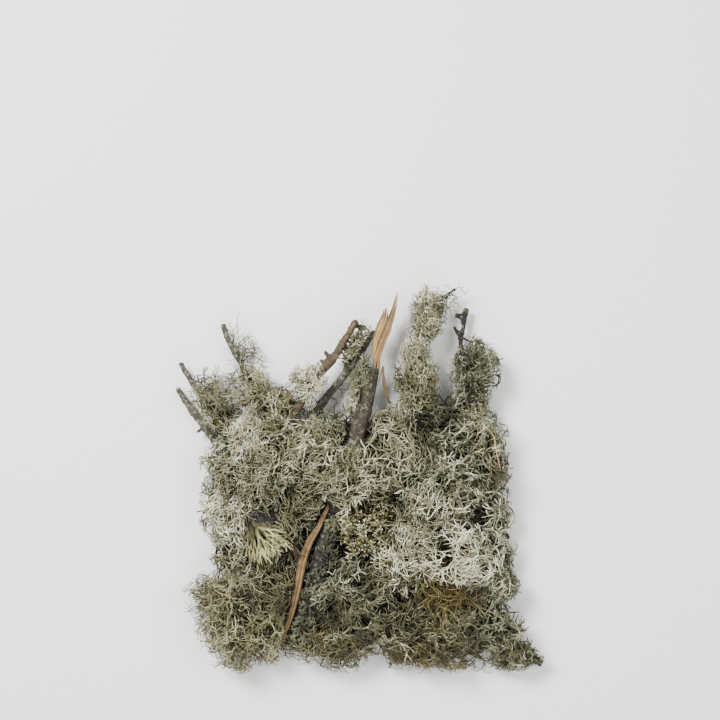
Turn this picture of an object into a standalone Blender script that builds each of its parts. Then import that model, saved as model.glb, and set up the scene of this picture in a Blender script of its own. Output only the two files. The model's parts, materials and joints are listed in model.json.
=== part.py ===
"""A branching twig grown over with lichens, lying on a flat surface.

Blender 4.5 script: metres, +Z up. The twig lies in the XY plane, its torn top towards +Y.
Tables are in millimetres, measured from the middle of the tangle, and placed on the origin at the end.
"""

import math
import random

import bmesh
import bpy
from mathutils import Vector, noise

MM = 0.001
WOOD_GAP = 0.3
LICHEN_GAP = 0.3
BARK_RELIEF = 0.07
BARK_LUMP_MM = 9.0
HIGHEST_LUMP = 1.08
CUTTER_GROWTH = 0.35

# The stem and its limbs: points x, y, z and the radius there, from the butt or the fork outwards.
STEM = [
    (-40, -92, 13, 6.2),
    (-34, -74, 14, 7.2),
    (-28, -56, 16, 7.4),
    (-23, -37, 18, 6.6),
    (-18, -16, 19, 5.6),
    (-12, 4, 19, 5.4),
    (-6, 23, 18, 5.2),
    (-2, 38, 18, 5.4),
    (2, 51, 18.5, 5.3),
    (4.6, 62, 19, 4.7),
    (6.6, 71, 19, 4.3),
    (8.4, 79.5, 19, 3.9),
]
STEM_CUTS = (0.21, 0.39)

LIMBS = {
    "brown_limb": {
        "grows_from": "stem",
        "bark": "brown_bark",
        "route": [
            (-27, -48, 17, 3.4),
            (-40, -36, 17, 3.1),
            (-46, -18, 17, 2.8),
            (-49, 3, 17, 2.7),
            (-51, 24, 17, 2.7),
            (-48, 40, 18, 2.7),
            (-40, 53, 18, 2.6),
            (-32, 64, 18, 2.6),
            (-25, 76, 18, 2.6),
            (-20, 82, 18, 3.3),
            (-15, 88, 17, 2.6),
            (-2, 109, 16, 2.3),
        ],
    },
    "grey_limb": {
        "grows_from": "brown_limb",
        "bark": "grey_bark",
        "route": [
            (-50, 16, 16, 2.0),
            (-40, 32, 11, 2.2),
            (-30, 48, 9, 2.4),
            (-20, 62, 9, 2.6),
            (-9, 76, 9, 2.6),
            (1, 90, 9, 2.4),
            (9, 103, 8, 1.9),
        ],
    },
    "left_limb_low": {
        "grows_from": "brown_limb",
        "bark": "grey_bark",
        "route": [
            (-46, -16, 17, 2.3),
            (-62, -7, 12, 2.4),
            (-77, 6, 9, 2.4),
            (-86, 21, 8, 2.4),
            (-92, 34, 7, 2.4),
            (-100, 46, 6, 2.6),
            (-108, 56, 5, 2.3),
            (-114.9, 67, 4.5, 1.9),
        ],
    },
    "left_limb_high": {
        "grows_from": "left_limb_low",
        "bark": "grey_bark",
        "route": [
            (-77, 6, 9, 1.7),
            (-80, 25, 9, 1.8),
            (-87, 42, 8, 1.8),
            (-96, 56, 8, 1.8),
            (-104, 68, 8, 1.8),
            (-113, 83, 8, 1.6),
        ],
    },
    "left_limb_back": {
        "grows_from": "brown_limb",
        "bark": "grey_bark",
        "route": [
            (-50, 5, 16, 1.9),
            (-57, 26, 10, 2.0),
            (-59, 44, 8, 1.9),
            (-64, 58, 8, 1.8),
            (-69, 72, 8, 1.8),
            (-76, 84, 8, 1.8),
            (-82, 95, 8, 1.9),
            (-86, 107, 8, 1.9),
        ],
    },
    "right_limb": {
        "grows_from": "stem",
        "bark": "dark_bark",
        "route": [
            (-25, -46, 17, 4.2),
            (-9, -45, 17, 3.8),
            (6, -35, 17, 3.6),
            (16, -22, 17, 3.4),
            (23, -7, 17, 3.1),
            (30, 9, 16, 2.9),
            (35, 25, 15, 2.7),
            (36, 41, 14, 2.5),
            (34.5, 57, 13, 2.3),
            (33.5, 72, 13, 2.1),
            (34, 88, 13, 1.9),
            (36.5, 100, 13, 1.7),
            (41, 110, 13, 1.5),
            (47, 119.5, 13, 1.3),
            (60, 129, 13, 1.0),
        ],
    },
    "right_limb_fork": {
        "grows_from": "right_limb",
        "bark": "dark_bark",
        "route": [
            (36, 38, 14, 2.0),
            (48, 43, 12, 2.0),
            (60, 45, 10, 1.9),
            (67, 50, 9, 1.8),
            (69, 60, 8, 1.7),
            (68, 72, 8, 1.6),
            (65, 84, 8, 1.5),
            (63, 95, 8, 1.5),
            (65, 105, 8, 1.6),
            (65, 111, 8, 2.5),
            (67, 117, 8, 2.0),
        ],
    },
    "right_limb_side": {
        "grows_from": "right_limb",
        "bark": "dark_bark",
        "route": [
            (28, 6, 16, 2.4),
            (44, 10, 11, 2.3),
            (60, 4, 9, 2.1),
            (74, -2, 7, 2.0),
            (87, -13, 6, 1.9),
            (93, -28, 5, 1.6),
        ],
    },
    "left_limb_side": {
        "grows_from": "brown_limb",
        "bark": "grey_bark",
        "route": [
            (-42, -33, 17, 2.4),
            (-56, -38, 12, 2.3),
            (-70, -42, 8, 2.1),
            (-82, -44, 6, 1.9),
            (-91, -39, 5, 1.6),
        ],
    },
    "right_limb_low": {
        "grows_from": "right_limb",
        "bark": "dark_bark",
        "route": [
            (-7, -44, 17, 2.8),
            (9, -53, 14, 2.6),
            (28, -57, 12, 2.4),
            (50, -59, 9, 2.2),
            (72, -64, 7, 2.0),
            (88, -63, 7, 2.0),
            (97, -51, 6, 2.6),
        ],
    },
    "bottom_limb_right": {
        "grows_from": "stem",
        "bark": "dark_bark",
        "route": [
            (-33, -73, 14, 3.0),
            (-16, -82, 11, 2.6),
            (9, -86, 9, 2.4),
            (32, -90, 7, 2.3),
            (57, -95, 6, 2.3),
            (80, -95, 5, 2.6),
            (100, -95, 4.5, 3.0),
            (114, -107, 4, 2.2),
        ],
    },
    "bottom_limb_left": {
        "grows_from": "stem",
        "bark": "dark_bark",
        "route": [
            (-34, -76, 14, 2.8),
            (-53, -73, 11, 2.5),
            (-72, -70, 9, 2.4),
            (-87, -68, 7, 2.6),
            (-101, -70, 6, 3.0),
        ],
    },
}

# The bare wood at the top: its outline seen from above, split in two prongs, and its thickness.
TORN_WOOD_OUTLINE = [
    (7.2, 80.6),
    (7.6, 87.5),
    (6.9, 94.6),
    (7.9, 98.5),
    (9.6, 103.0),
    (12.4, 110.0),
    (16.2, 119.0),
    (15.6, 109.0),
    (13.3, 102.0),
    (11.6, 96.4),
    (14.4, 101.0),
    (17.4, 109.0),
    (20.4, 119.0),
    (23.8, 128.0),
    (22.9, 118.0),
    (20.9, 110.0),
    (19.0, 102.7),
    (15.4, 94.5),
    (13.2, 87.5),
    (12.4, 80.6),
]
TORN_WOOD_THICK = 4.6
TORN_WOOD_Z = 19.0
TORN_WOOD_EDGE = 0.6
TORN_WOOD_AXIS = ((10.5, 82, TORN_WOOD_Z), (18, 120, TORN_WOOD_Z))
TORN_WOOD_HALF_WIDTH = 6.5

# The slivers torn from the stem: points x, y, z, then the width and thickness there.
SLIVERS = {
    "peeled_splinter": [
        (-18.6, -4.5, 25.2, 1.8, 1.2),
        (-21.6, -10.5, 25.3, 2.6, 1.7),
        (-25.8, -19.5, 25.2, 3.2, 2.0),
        (-31.7, -28.5, 24.9, 4.2, 2.4),
        (-35.3, -38.5, 24.1, 4.8, 2.8),
        (-37.5, -50.0, 23.3, 4.5, 2.6),
        (-39.0, -58.6, 22.5, 4.2, 2.4),
        (-41.8, -70.3, 21.8, 3.8, 2.2),
        (-44.7, -79.7, 21.6, 3.4, 2.0),
        (-49.8, -95.6, 21.6, 1.6, 0.9),
    ],
    "peeled_fibre": [
        (14.3, 81.0, 19.0, 1.4, 1.0),
        (14.5, 75.0, 19.0, 2.0, 1.4),
        (15.2, 68.0, 18.8, 2.2, 1.4),
        (17.0, 61.5, 18.0, 1.6, 1.0),
        (19.6, 55.0, 17.4, 0.9, 0.6),
    ],
}
SLIVER_SIDES = 6

# How near to its root's direction, or to straight down, a point of a tuft is pressed flat.
ROOT_CONE = 0.72
FOOT_CONE = 0.75
# Prongs stand only on faces that look away from both.
PRONG_FREE = 0.5
# How far a tuft stretches to meet its wood or the next tuft, as a share of its half size.
STRETCH = 1.35
SPREAD = 0.22
LUMPS_PER_RADIUS = 2.1
LEAST_ROOM = 1.0

# Lichen kinds: how many prongs stand out, how wide they start, how deep the hollows between them are.
KINDS = {
    "oakmoss": {"prongs": 18, "inset": 0.12, "body": 0.72, "lumps": 0.10},
    "strap_lichen": {"prongs": 16, "inset": 0.10, "body": 0.60, "lumps": 0.14},
    "beard_lichen": {"prongs": 20, "inset": 0.145, "body": 0.74, "lumps": 0.08},
}

# Each tuft: kind, the middle x, y, z, and its half sizes along x, y, z.
TUFTS = {
    "oakmoss_crown": ("oakmoss", (50, 3, 19), (24, 25, 18)),
    "oakmoss_upper_right": ("oakmoss", (73, 24, 16), (25, 25, 18.5)),
    "oakmoss_right_edge": ("oakmoss", (82, -10, 14), (13, 20, 15)),
    "oakmoss_upper_middle": ("oakmoss", (18, 29, 21), (21, 26, 16)),
    "oakmoss_brightest": ("oakmoss", (56, -38, 22), (23, 21, 18)),
    "oakmoss_right_lower": ("oakmoss", (78, -40, 14), (14, 18, 15)),
    "oakmoss_corner": ("oakmoss", (80, -83, 14), (22, 18, 15)),
    "oakmoss_low_middle": ("oakmoss", (14, -76, 18), (25, 19, 18.5)),
    "oakmoss_low_right": ("oakmoss", (52, -85, 16), (17, 14, 15)),
    "oakmoss_star": ("oakmoss", (2, -53, 29), (20, 12, 10)),
    "oakmoss_middle": ("oakmoss", (32, -17, 24), (15, 15, 14)),
    "oakmoss_inner": ("oakmoss", (9, 4, 22), (15, 14, 13)),
    "oakmoss_stem_fringe": ("oakmoss", (-9, 11, 32), (12, 19, 9)),
    "oakmoss_centre_left": ("oakmoss", (-30, 2, 18), (18, 22, 18)),
    "oakmoss_centre_haze": ("oakmoss", (-19, 33, 21), (14, 18, 12)),
    "oakmoss_left_middle": ("oakmoss", (-63, 8, 21), (21, 20, 16)),
    "oakmoss_left_edge": ("oakmoss", (-85, -8, 13), (13, 18, 14)),
    "oakmoss_left_rise": ("oakmoss", (-80, 20, 21), (15, 15, 11)),
    "oakmoss_ivory": ("oakmoss", (-64, 38, 26), (14, 13, 11)),
    "oakmoss_curly": ("oakmoss", (-42, 36, 29), (12, 12, 8)),
    "oakmoss_left_low": ("oakmoss", (-74, -32, 14), (16, 15, 15)),
    "oakmoss_under_splinter": ("oakmoss", (-52, -58, 16), (13, 16, 16)),
    "oakmoss_brush": ("oakmoss", (34, 75, 22), (11, 23, 9.5)),
    "oakmoss_brush_top": ("oakmoss", (42, 113, 20), (8, 14, 7)),
    "oakmoss_fork_brush": ("oakmoss", (72, 77, 17), (14.5, 17, 9.5)),
    "oakmoss_limb_end": ("oakmoss", (87, -56, 16), (10, 10, 9)),
    "oakmoss_bud": ("oakmoss", (-32, 72, 25), (8.5, 8.5, 6.5)),
    "oakmoss_lowest_right": ("oakmoss", (95, -99, 12), (14, 8, 7)),
    "strap_fan_left": ("strap_lichen", (-55, -31, 25), (17, 18, 12)),
    "strap_fan_right": ("strap_lichen", (27, -42, 25), (12, 13, 11)),
    "leafy_lichen": ("strap_lichen", (5, -20, 26), (15, 17, 12)),
    "beard_left": ("beard_lichen", (-90, 57, 13), (15, 15, 9)),
    "beard_hanging": ("beard_lichen", (-66.5, 64.5, 16), (9, 12, 8)),
    "beard_back": ("beard_lichen", (-50, 53, 13), (15, 12, 10)),
    "beard_big": ("beard_lichen", (-74, -85, 17), (30, 22, 18)),
    "beard_upper": ("beard_lichen", (-80, -61, 18), (23, 12, 12)),
    "beard_ochre": ("beard_lichen", (51, -63, 21), (16, 11, 13)),
    "beard_bottom_right": ("beard_lichen", (40, -97, 16), (25, 11, 12)),
    "beard_bottom_middle": ("beard_lichen", (-12, -94, 12), (22, 14, 13)),
    "beard_grey_limb": ("beard_lichen", (-1, 94, 16), (9, 13, 7)),
}

# The shield lichens: the wood they lie on, where along it, the angle round it, their length and width.
ROSETTES = {
    "shield_lichen_stem": ("stem", 0.88, 138, 18, 9),
    "shield_lichen_butt": ("stem", 0.15, 50, 15, 13),
}
ROSETTE_THICK = 1.5
ROSETTE_LOBES = 7
ROSETTE_LOBE_DEPTH = 0.22
ROSETTE_POINTS = 22

COLOURS = {
    "dark_bark": ((0.060, 0.048, 0.040), 0.92),
    "stem_bark": ((0.125, 0.095, 0.075), 0.90),
    "brown_bark": ((0.165, 0.110, 0.065), 0.85),
    "grey_bark": ((0.110, 0.100, 0.085), 0.92),
    "bare_wood": ((0.560, 0.320, 0.145), 0.75),
    "oakmoss": ((0.400, 0.410, 0.270), 0.88),
    "strap_lichen": ((0.520, 0.500, 0.290), 0.85),
    "beard_lichen": ((0.260, 0.245, 0.125), 0.90),
    "shield_lichen": ((0.380, 0.400, 0.240), 0.88),
}


def clear_scene():
    for obj in list(bpy.data.objects):
        bpy.data.objects.remove(obj, do_unlink=True)


def new_collection(name):
    made = bpy.data.collections.new(name)
    bpy.context.scene.collection.children.link(made)
    return made


def make_material(name):
    colour, roughness = COLOURS[name]
    material = bpy.data.materials.new(name)
    material.use_nodes = True
    shader = material.node_tree.nodes["Principled BSDF"]
    shader.inputs["Base Color"].default_value = (*colour, 1.0)
    shader.inputs["Roughness"].default_value = roughness
    shader.inputs["Metallic"].default_value = 0.0
    return material


def add_object(name, mesh, collection, material_name):
    obj = bpy.data.objects.new(name, mesh)
    collection.objects.link(obj)
    mesh.materials.clear()
    mesh.materials.append(materials[material_name])
    return obj


def smooth_route(points, steps=2):
    """Points with their radius on a Catmull-Rom curve through the hand-chosen ones."""
    ends = [points[0], *points, points[-1]]
    route = []
    for i in range(1, len(ends) - 2):
        before, start, end, after = (Vector(p) for p in ends[i - 1 : i + 3])
        for step in range(steps):
            t = step / steps
            route.append(
                0.5
                * (
                    2 * start
                    + (end - before) * t
                    + (2 * before - 5 * start + 4 * end - after) * t**2
                    + (3 * start - before - 3 * end + after) * t**3
                )
            )
    route.append(Vector(points[-1]))
    return route


def tube_curve(name, route, resolution, growth=0.0):
    """A curve object that follows the route, as thick as the radius at each point."""
    curve = bpy.data.curves.new(name, "CURVE")
    curve.dimensions = "3D"
    curve.bevel_depth = MM
    curve.bevel_resolution = resolution
    curve.use_fill_caps = True
    spline = curve.splines.new("POLY")
    spline.points.add(len(route) - 1)
    for point, place in zip(spline.points, route):
        point.co = (*(place.xyz * MM), 1.0)
        point.radius = place.w + growth
    return bpy.data.objects.new(name, curve)


def mesh_from_curve(obj, collection):
    """The evaluated mesh of a curve with its caps welded on. The curve is removed."""
    collection.objects.link(obj)
    bpy.context.view_layer.update()
    graph = bpy.context.evaluated_depsgraph_get()
    mesh = bpy.data.meshes.new_from_object(obj.evaluated_get(graph))
    bpy.data.objects.remove(obj, do_unlink=True)
    bm = bmesh.new()
    bm.from_mesh(mesh)
    bmesh.ops.remove_doubles(bm, verts=bm.verts, dist=0.00001)
    bmesh.ops.recalc_face_normals(bm, faces=bm.faces)
    bm.to_mesh(mesh)
    bm.free()
    return mesh


def add_bark_relief(mesh, route):
    """Moves each point in or out from the nearest point of the route, in broad lumps."""
    for vertex in mesh.vertices:
        nearest = min(route, key=lambda place: (place.xyz * MM - vertex.co).length)
        outward = vertex.co - nearest.xyz * MM
        lump = noise.noise(nearest.xyz / BARK_LUMP_MM + outward.normalized() * 0.9)
        vertex.co += outward * BARK_RELIEF * 2 * lump


def wood_mesh(name, route, resolution, growth=0.0):
    mesh = mesh_from_curve(tube_curve(name, route, resolution, growth), twig)
    add_bark_relief(mesh, route)
    return mesh


def wood_cutter(name, route, resolution):
    """The same wood a little thicker, for the gap where a limb leaves it."""
    mesh = wood_mesh(name + "_cutter", route, resolution, CUTTER_GROWTH + WOOD_GAP)
    obj = add_object(name + "_cutter", mesh, cutters, "dark_bark")
    obj.hide_render = True
    obj.display_type = "WIRE"
    return obj


def cut_from(obj, cutter):
    cut = obj.modifiers.new("fork", "BOOLEAN")
    cut.operation = "DIFFERENCE"
    cut.object = cutter


def stem_pieces(route):
    """The stem in three pieces, cut in the middle of a span so that both cut faces are parallel."""
    cuts = [int(share * (len(route) - 1)) for share in STEM_CUTS]
    borders = []
    for index in cuts:
        below, above = route[index], route[index + 1]
        half_gap = (above - below).normalized() * (WOOD_GAP / 2)
        borders.append(((below + above) / 2 - half_gap, (below + above) / 2 + half_gap))
    first, second = cuts
    return {
        "stem_base": route[: first + 1] + [borders[0][0]],
        "stem_middle": [borders[0][1]] + route[first + 1 : second + 1] + [borders[1][0]],
        "stem_top": [borders[1][1]] + route[second + 1 :],
    }


def build_wood():
    """The stem and its limbs. Returns the route of each for the lichens to keep clear of."""
    routes = {"stem": smooth_route(STEM)}
    wood_cutters = {"stem": wood_cutter("stem", routes["stem"], 3)}
    barks = {"stem_base": "dark_bark", "stem_middle": "dark_bark", "stem_top": "stem_bark"}
    for name, route in stem_pieces(routes["stem"]).items():
        add_object(name, wood_mesh(name, route, 3), twig, barks[name])
    for name, limb in LIMBS.items():
        routes[name] = smooth_route(limb["route"], steps=1)
        wood_cutters[name] = wood_cutter(name, routes[name], 1)
        obj = add_object(name, wood_mesh(name, routes[name], 1), twig, limb["bark"])
        cut_from(obj, wood_cutters[limb["grows_from"]])
    return routes


def torn_wood_tip():
    """The split bare wood: a flat outline with rounded edges, a hair above the stem's top."""
    curve = bpy.data.curves.new("torn_wood_tip", "CURVE")
    curve.dimensions = "2D"
    curve.fill_mode = "BOTH"
    curve.extrude = TORN_WOOD_THICK / 2 * MM
    spline = curve.splines.new("POLY")
    spline.points.add(len(TORN_WOOD_OUTLINE) - 1)
    spline.use_cyclic_u = True
    for point, (x, y) in zip(spline.points, TORN_WOOD_OUTLINE):
        point.co = (x * MM, y * MM, 0, 1)
    outline = bpy.data.objects.new("torn_wood_outline", curve)
    mesh = mesh_from_curve(outline, twig)
    for vertex in mesh.vertices:
        vertex.co.z += TORN_WOOD_Z * MM
    obj = add_object("torn_wood_tip", mesh, twig, "bare_wood")
    edge = obj.modifiers.new("worn_edge", "BEVEL")
    edge.width = TORN_WOOD_EDGE * MM
    edge.segments = 1
    edge.limit_method = "ANGLE"


def torn_sliver(name):
    """A sliver of wood: a flattened ring pulled along its route and closed at both ends."""
    rows = SLIVERS[name]
    bm = bmesh.new()
    bmesh.ops.create_circle(bm, cap_ends=True, segments=SLIVER_SIDES, radius=1.0)
    cap = bm.faces[:]
    corners = [vert.co.copy() for vert in cap[0].verts]
    stations = [Vector(row[:3]) for row in rows]
    for i, (station, row) in enumerate(zip(stations, rows)):
        if i:
            cap = bmesh.ops.extrude_discrete_faces(bm, faces=cap)["faces"]
        along = (stations[min(i + 1, len(stations) - 1)] - stations[max(i - 1, 0)]).normalized()
        across = along.cross(Vector((0, 0, 1))).normalized()
        up = across.cross(along)
        for vert, corner in zip(cap[0].verts, corners):
            vert.co = (station + across * corner.x * row[3] / 2 + up * corner.y * row[4] / 2) * MM
    bmesh.ops.holes_fill(bm, edges=[edge for edge in bm.edges if edge.is_boundary])
    bmesh.ops.recalc_face_normals(bm, faces=bm.faces)
    mesh = bpy.data.meshes.new(name)
    bm.to_mesh(mesh)
    bm.free()
    add_object(name, mesh, twig, "bare_wood")


def wood_spans(routes):
    """Every straight span of wood as its two ends and its largest radius."""
    spans = []
    for route in routes.values():
        for start, end in zip(route, route[1:]):
            spans.append((start.xyz, end.xyz, max(start.w, end.w) * HIGHEST_LUMP))
    for rows in SLIVERS.values():
        for start, end in zip(rows, rows[1:]):
            spans.append((Vector(start[:3]), Vector(end[:3]), max(start[3], end[3]) / 2))
    bottom, top = (Vector(end) for end in TORN_WOOD_AXIS)
    spans.append((bottom, top, TORN_WOOD_HALF_WIDTH))
    return spans


def nearest_on_span(point, start, end):
    along = end - start
    share = (point - start).dot(along) / along.length_squared
    return start + along * min(1.0, max(0.0, share))


def reach(direction, half):
    """How far an ellipsoid of these half sizes reaches in a direction."""
    return 1 / math.sqrt(sum((d / h) ** 2 for d, h in zip(direction, half)))


def fences_of(name, spans):
    """Planes that keep a tuft off the floor, the wood and its neighbours, and the way to its own wood.

    Each plane is its outward direction and its distance from the tuft's middle.
    """
    _, middle, half = TUFTS[name]
    middle = Vector(middle)
    fences = [(Vector((0, 0, -1)), middle.z)]
    nearest_room, root = math.inf, None
    for start, end, radius in spans:
        towards = nearest_on_span(middle, start, end) - middle
        room = towards.length - radius - LICHEN_GAP
        if room < LEAST_ROOM:
            raise ValueError(f"{name} sits {room:.1f} mm from a span of wood")
        fences.append((towards.normalized(), room))
        if room < nearest_room:
            nearest_room, root = room, towards.normalized()
    for other, (_, place, size) in TUFTS.items():
        if other == name:
            continue
        towards = Vector(place) - middle
        direction = towards.normalized()
        own, theirs = reach(direction, half), reach(direction, size)
        fences.append((direction, towards.length * own / (own + theirs) - LICHEN_GAP / 2))
    return fences, root


def lichen_tuft(name, seed, spans):
    """A lumpy cushion with prongs, flattened where it meets the floor, the wood or another tuft.

    One that reaches the floor stands on it with a flat foot.
    """
    kind, middle, half = TUFTS[name]
    rests = half[2] > middle[2]
    shape = KINDS[kind]
    fences, root = fences_of(name, spans)
    rng = random.Random(seed)
    bm = bmesh.new()
    bmesh.ops.create_icosphere(bm, subdivisions=2, radius=1.0)
    offset = Vector((seed, 0, 0))
    free = [f for f in bm.faces if f.normal.z > -PRONG_FREE and f.normal.dot(root) < PRONG_FREE]
    prongs = rng.sample(free, min(shape["prongs"], len(free)))
    bmesh.ops.inset_individual(bm, faces=prongs, thickness=shape["inset"])
    tips = {vert for face in prongs for vert in face.verts}
    for vert in bm.verts:
        direction = vert.co.normalized()
        level = 1.0
        if vert not in tips:
            level = shape["body"] + shape["lumps"] * noise.noise(direction * LUMPS_PER_RADIUS + offset)
        along = Vector(d * h for d, h in zip(direction, half))
        distance = along.length * level
        unit = along.normalized()
        ahead = [room / unit.dot(way) for way, room in fences if unit.dot(way) > 0.01]
        limit = min(ahead, default=math.inf)
        if unit.dot(root) > ROOT_CONE or (rests and unit.z < -FOOT_CONE):
            distance = along.length * STRETCH
        elif limit < along.length * STRETCH:
            distance += along.length * SPREAD
        vert.co = (Vector(middle) + unit * min(distance, limit)) * MM
    mesh = bpy.data.meshes.new(name)
    bm.to_mesh(mesh)
    bm.free()
    add_object(name, mesh, twig, kind)


def shield_rosette(name, routes):
    """A lobed leaf wrapped round the bark."""
    wood, share, angle, length, width = ROSETTES[name]
    route = routes[wood]
    index = int(share * (len(route) - 1))
    start, end = route[index], route[index + 1]
    along = (end.xyz - start.xyz).normalized()
    side = along.cross(Vector((0, 0, 1))).normalized()
    up = side.cross(along)
    radius = max(start.w, end.w) * HIGHEST_LUMP + LICHEN_GAP
    middle = (start.xyz + end.xyz) / 2
    bm = bmesh.new()
    bmesh.ops.create_circle(bm, cap_ends=True, cap_tris=True, segments=ROSETTE_POINTS, radius=1.0)
    for vert in bm.verts:
        turn = math.atan2(vert.co.y, vert.co.x)
        lobe = 1 - ROSETTE_LOBE_DEPTH * (1 - math.cos(ROSETTE_LOBES * turn + index))
        run = vert.co.x * lobe * length / 2
        bend = math.radians(angle) + vert.co.y * lobe * width / 2 / radius
        out = up * math.sin(bend) + side * math.cos(bend)
        vert.co = (middle + along * run + out * radius) * MM
    bmesh.ops.recalc_face_normals(bm, faces=bm.faces)
    mesh = bpy.data.meshes.new(name)
    bm.to_mesh(mesh)
    bm.free()
    obj = add_object(name, mesh, twig, "shield_lichen")
    leaf = obj.modifiers.new("leaf", "SOLIDIFY")
    leaf.thickness = ROSETTE_THICK * MM
    leaf.offset = 1.0


def stand_on_origin():
    """Moves everything so that the middle of its box is at x = y = 0 and its lowest point at z = 0."""
    bpy.context.view_layer.update()
    graph = bpy.context.evaluated_depsgraph_get()
    corners = []
    for obj in twig.objects:
        shown = obj.evaluated_get(graph)
        corners += [shown.matrix_world @ vertex.co for vertex in shown.data.vertices]
    low = Vector(min(corner[axis] for corner in corners) for axis in range(3))
    high = Vector(max(corner[axis] for corner in corners) for axis in range(3))
    base = Vector(((low.x + high.x) / 2, (low.y + high.y) / 2, low.z))
    whole = bpy.data.objects.new("lichen_twig", None)
    twig.objects.link(whole)
    whole.location = -base
    for obj in [*twig.objects, *cutters.objects]:
        if obj is not whole:
            obj.parent = whole


clear_scene()
twig = new_collection("lichen_on_a_twig")
cutters = new_collection("cutters")
materials = {name: make_material(name) for name in COLOURS}
wood_routes = build_wood()
torn_wood_tip()
for sliver in SLIVERS:
    torn_sliver(sliver)
wood = wood_spans(wood_routes)
for number, tuft in enumerate(TUFTS):
    lichen_tuft(tuft, number, wood)
for rosette in ROSETTES:
    shield_rosette(rosette, wood_routes)
stand_on_origin()
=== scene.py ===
# A forked twig overgrown with lichens, lying on a pale surface and seen from straight above.
# Growth is worked out in millimetres and scaled to metres when a piece is finished.

import json
import math
import random

import bmesh
import bpy
from mathutils import Matrix, Vector, noise
from mathutils.bvhtree import BVHTree

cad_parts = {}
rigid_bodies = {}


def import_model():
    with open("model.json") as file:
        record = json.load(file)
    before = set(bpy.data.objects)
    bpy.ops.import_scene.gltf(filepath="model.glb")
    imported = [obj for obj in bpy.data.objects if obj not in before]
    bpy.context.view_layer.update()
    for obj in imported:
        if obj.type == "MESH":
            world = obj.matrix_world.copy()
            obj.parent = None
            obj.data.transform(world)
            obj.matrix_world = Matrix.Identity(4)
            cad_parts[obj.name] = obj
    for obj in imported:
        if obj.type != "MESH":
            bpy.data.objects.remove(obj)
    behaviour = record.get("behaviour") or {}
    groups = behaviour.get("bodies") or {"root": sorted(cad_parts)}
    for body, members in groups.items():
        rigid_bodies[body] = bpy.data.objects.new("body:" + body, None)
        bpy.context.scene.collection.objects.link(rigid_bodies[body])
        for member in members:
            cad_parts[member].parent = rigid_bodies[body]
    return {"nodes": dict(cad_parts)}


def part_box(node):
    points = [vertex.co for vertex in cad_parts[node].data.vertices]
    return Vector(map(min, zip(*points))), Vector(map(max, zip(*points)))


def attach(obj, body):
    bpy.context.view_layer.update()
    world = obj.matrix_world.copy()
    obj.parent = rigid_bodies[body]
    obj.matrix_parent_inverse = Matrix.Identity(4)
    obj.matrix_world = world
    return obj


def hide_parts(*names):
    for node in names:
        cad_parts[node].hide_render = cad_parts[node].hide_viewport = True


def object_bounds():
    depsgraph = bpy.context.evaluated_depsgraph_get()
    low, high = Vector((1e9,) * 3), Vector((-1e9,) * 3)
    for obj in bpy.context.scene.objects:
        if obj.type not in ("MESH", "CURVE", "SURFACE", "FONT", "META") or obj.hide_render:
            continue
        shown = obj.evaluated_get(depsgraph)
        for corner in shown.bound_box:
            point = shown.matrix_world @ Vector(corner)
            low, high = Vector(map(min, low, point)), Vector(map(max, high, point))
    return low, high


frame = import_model()
cadBox = [list(corner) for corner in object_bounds()]

mm = 0.001
up = Vector((0, 0, 1))
tangle = Vector((0.595, -10.603, 0))  # the tangle's own zero: every place below is from there
growthMarks = ("age", "tone", "warm")  # what each point of a lichen says to its material; tone also carries painted light and shade


# Camera, light and floor

stageSettings = {
    "frameWidth": 453.6,  # what the picture spans, side to side
    "frameCentre": (0.6, 73.8),  # what lies in the middle of the picture
    "cameraHeight": 1600,
    "cameraReach": 20000,
    "sensor": 36.0,
    "floorColour": "#FAFAF8",
    "floorSize": 6000,
    "skyColour": "#F4F6F8",
    "skyStrength": 0.48,
    # place, size and watts of each soft light
    "lights": {
        "softKey": ((-560, 560, 1050), 520, 34.0),
        "softFill": ((700, 160, 1000), 800, 9.0),
        "softFront": ((60, -760, 900), 800, 5.6),
    },
}


def linearColour(hexColour):
    # sRGB hex to the linear values that the shader wants
    parts = [int(hexColour[i : i + 2], 16) / 255 for i in (1, 3, 5)]
    return (*[p / 12.92 if p <= 0.04045 else ((p + 0.055) / 1.055) ** 2.4 for p in parts], 1.0)


def addNode(tree, kind, settings=None, inputs=None):
    # one node with its settings, its values and its links
    node = tree.nodes.new(kind)
    for name, value in (settings or {}).items():
        setattr(node, name, value)
    for name, value in (inputs or {}).items():
        if isinstance(value, bpy.types.NodeSocket):
            tree.links.new(value, node.inputs[name])
        else:
            node.inputs[name].default_value = value
    return node


def newMaterial(name, roughness, ior=1.5):
    material = bpy.data.materials.new(name)
    material.use_nodes = True
    shader = material.node_tree.nodes["Principled BSDF"]
    shader.inputs["Roughness"].default_value = roughness
    shader.inputs["IOR"].default_value = ior
    return material, material.node_tree


def makeRamp(tree, factor, stops):
    # a colour ramp over hex colours: (place, hex), lowest place first
    node = addNode(tree, "ShaderNodeValToRGB", inputs={"Fac": factor})
    ramp = node.color_ramp
    for i, (place, hexColour) in enumerate(stops):
        stop = ramp.elements[i] if i < 2 else ramp.elements.new(place)
        stop.position = place
        stop.color = linearColour(hexColour)
    return node.outputs["Color"]


def finishMaterial(material, colour, height, strength, relief):
    # the colour and a relief of so many millimetres go to the shader
    tree = material.node_tree
    shader = tree.nodes["Principled BSDF"]
    bump = addNode(
        tree, "ShaderNodeBump",
        inputs={"Height": height, "Strength": strength, "Distance": relief * mm}
    ).outputs["Normal"]
    tree.links.new(colour, shader.inputs["Base Color"])
    tree.links.new(bump, shader.inputs["Normal"])
    return material


def addObject(name, data):
    thing = bpy.data.objects.new(name, data)
    bpy.context.scene.collection.objects.link(thing)
    return thing


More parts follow.
